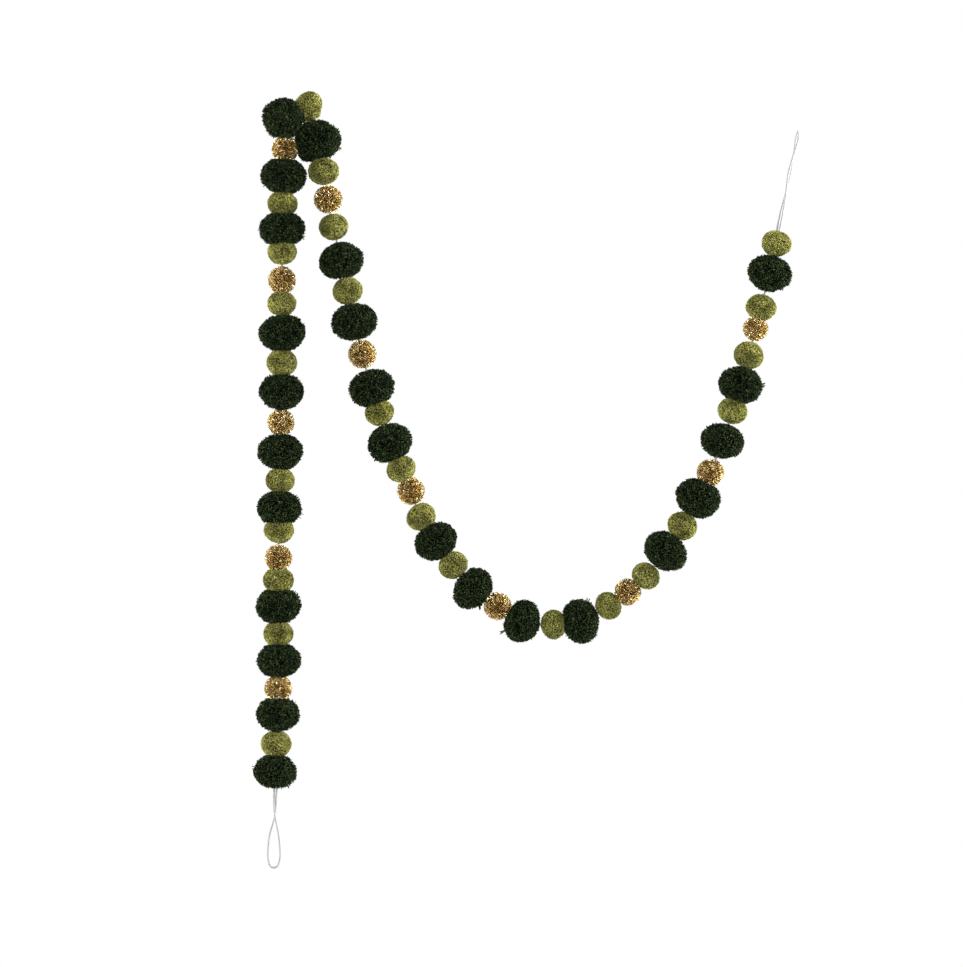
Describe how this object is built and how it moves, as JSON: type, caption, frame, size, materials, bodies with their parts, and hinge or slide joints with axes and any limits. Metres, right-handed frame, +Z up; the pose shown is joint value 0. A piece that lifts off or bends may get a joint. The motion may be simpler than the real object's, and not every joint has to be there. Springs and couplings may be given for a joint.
{
  "type": "pom pom garland",
  "caption": "Hanging garland of yarn and tinsel pom poms threaded on a thin string with a loop at each end, folded over at one side and swagged between two hanging points.",
  "frame": {"origin": "the middle of the string where it folds over the first hook, at the garland's top left", "axes": "+Z up, +X to the right as seen from the front, from the fold towards the swag's far end, -Y towards the viewer; the garland hangs in the XZ plane"},
  "size_m": [0.5084, 0.0496, 0.72],
  "materials": {
    "green_wool": "matte cut yarn, dark green",
    "olive_wool": "matte cut yarn, olive green",
    "gold_tinsel": "metallised tinsel film, gold",
    "string": "twisted cotton, off-white"
  },
  "bodies": {
    "root": {"pompom_01_green": "green_wool", "pompom_02_olive": "olive_wool", "pompom_03_green": "green_wool", "pompom_04_gold": "gold_tinsel", "pompom_05_green": "green_wool", "pompom_06_olive": "olive_wool", "pompom_07_green": "green_wool", "pompom_08_olive_09_gold": "olive_wool", "pompom_10_olive": "olive_wool", "pompom_11_green": "green_wool", "pompom_12_olive": "olive_wool", "pompom_13_green": "green_wool", "pompom_14_gold": "gold_tinsel", "pompom_15_green": "green_wool", "pompom_16_olive": "olive_wool", "pompom_17_green": "green_wool", "pompom_18_olive_19_gold": "olive_wool", "pompom_20_olive": "olive_wool", "pompom_21_green": "green_wool", "pompom_22_olive": "olive_wool", "pompom_23_green": "green_wool", "pompom_24_gold": "gold_tinsel", "pompom_25_green": "green_wool", "pompom_26_olive": "olive_wool", "pompom_27_green": "green_wool", "pompom_28_olive": "olive_wool", "pompom_29_gold": "gold_tinsel", "pompom_30_olive": "olive_wool", "pompom_31_green": "green_wool", "pompom_32_olive": "olive_wool", "pompom_33_green": "green_wool", "pompom_34_gold": "gold_tinsel", "pompom_35_green": "green_wool", "pompom_36_olive": "olive_wool", "pompom_37_green": "green_wool", "pompom_38_olive": "olive_wool", "pompom_39_gold": "gold_tinsel", "pompom_40_olive": "olive_wool", "pompom_41_green": "green_wool", "pompom_42_olive": "olive_wool", "pompom_43_green": "green_wool", "pompom_44_gold": "gold_tinsel", "pompom_45_green": "green_wool", "pompom_46_olive": "olive_wool", "pompom_47_green": "green_wool", "pompom_48_olive": "olive_wool", "pompom_49_gold": "gold_tinsel", "pompom_50_olive": "olive_wool", "pompom_51_green": "green_wool", "pompom_52_olive": "olive_wool", "pompom_53_green": "green_wool", "pompom_54_gold": "gold_tinsel", "pompom_55_green": "green_wool", "pompom_56_olive": "olive_wool", "pompom_57_green": "green_wool", "pompom_58_olive": "olive_wool", "pompom_59_gold_60_olive": "gold_tinsel", "pompom_61_green": "green_wool", "pompom_62_olive": "olive_wool", "string": "string"}
  },
  "joints": []
}
